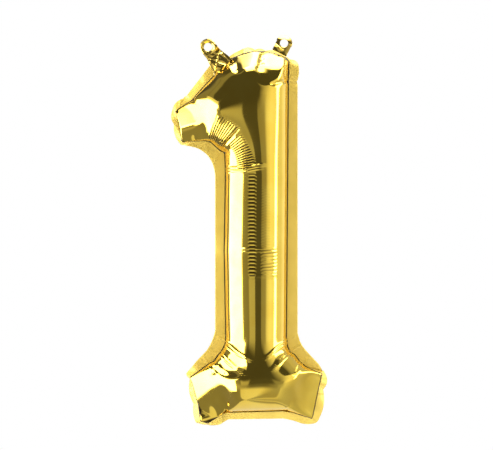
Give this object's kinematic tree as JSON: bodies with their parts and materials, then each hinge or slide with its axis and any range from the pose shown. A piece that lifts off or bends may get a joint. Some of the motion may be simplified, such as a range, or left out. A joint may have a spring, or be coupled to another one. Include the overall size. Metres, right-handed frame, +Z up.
{
  "type": "foil number balloon",
  "caption": "Air-filled foil balloon shaped as the digit one, with a welded edge, a self-closing filling valve in its neck, and hinged tabs with punched holes to hang it by.",
  "frame": {"origin": "bottom centre of the box round the whole balloon, on the seal's plane", "axes": "+Z up along the digit's stem, +X to the viewer's right as the digit reads, and the front faces -Y"},
  "size_m": [0.1499, 0.0688, 0.3677],
  "materials": {
    "gold_foil": "metallised film, mirror gold",
    "gold_weld": "metallised film, flat satin gold",
    "valve_film": "clear thin film",
    "valve_print": "printed release coating"
  },
  "bodies": {
    "envelope": {"front_panel": "gold_foil", "rear_panel": "gold_foil", "edge_seal": "gold_weld", "neck_front_film": "gold_foil", "neck_rear_film": "gold_foil"},
    "left_tab": {"left_tab": "gold_weld"},
    "right_tab": {"right_tab": "gold_weld"},
    "valve_front": {"valve_front_film": "valve_film"},
    "valve_rear": {"valve_rear_film": "valve_film", "valve_coating": "valve_print"}
  },
  "joints": [
    {"name": "left_tab_fold", "type": "hinge", "parent": "envelope", "child": "left_tab", "pos_m": [-0.03398, 0, 0.34962], "axis": [0.788, 0, 0.6157], "range_deg": [-85, 85], "stiffness_Nm_per_rad": 0.001},
    {"name": "right_tab_fold", "type": "hinge", "parent": "envelope", "child": "right_tab", "pos_m": [0.0285, 0, 0.3516], "axis": [0.8988, 0, -0.4384], "range_deg": [-85, 85], "stiffness_Nm_per_rad": 0.001},
    {"name": "valve_front_open", "type": "hinge", "parent": "envelope", "child": "valve_front", "pos_m": [-0.03337, -0.00025, 0.34883], "axis": [-0.788, 0, -0.6157], "range_deg": [0, 4], "stiffness_Nm_per_rad": 0.0002},
    {"name": "valve_rear_open", "type": "hinge", "parent": "envelope", "child": "valve_rear", "pos_m": [-0.03337, 0.00017, 0.34883], "axis": [0.788, 0, 0.6157], "range_deg": [0, 4], "stiffness_Nm_per_rad": 0.0002}
  ]
}
